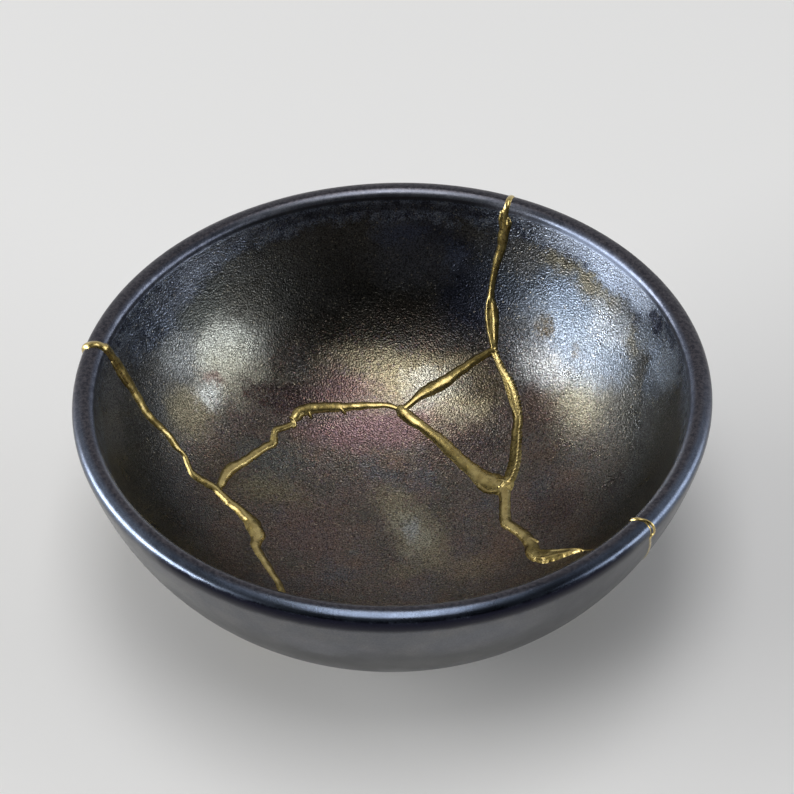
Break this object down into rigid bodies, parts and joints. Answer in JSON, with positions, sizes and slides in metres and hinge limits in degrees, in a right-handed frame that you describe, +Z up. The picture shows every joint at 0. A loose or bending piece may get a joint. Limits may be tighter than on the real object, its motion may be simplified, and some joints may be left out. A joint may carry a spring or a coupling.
{
  "type": "kintsugi bowl",
  "caption": "Small round footed stoneware bowl in dark iridescent glaze, once broken, its shards joined again with raised gold seams; open and empty inside.",
  "frame": {"origin": "middle of the foot ring's resting plane, under the centre of the bowl", "axes": "+Z up along the bowl's turning axis; -Y towards the viewer, +X to the viewer's right, so the left-hand seam meets the lip near -X and the middle shard lies towards +X +Y"},
  "size_m": [0.13, 0.13, 0.0508],
  "materials": {
    "iridescent_glaze": "near-black satin glaze with a metallic blue, purple and olive lustre and a fine granular sparkle",
    "gold": "warm brass-coloured gold powder burnished on lacquer, slightly lumpy, standing proud of the glaze"
  },
  "bodies": {
    "root": {"shard_front": "iridescent_glaze", "shard_back": "iridescent_glaze", "shard_right": "iridescent_glaze", "shard_middle": "iridescent_glaze", "gold_seam": "gold"}
  },
  "joints": []
}
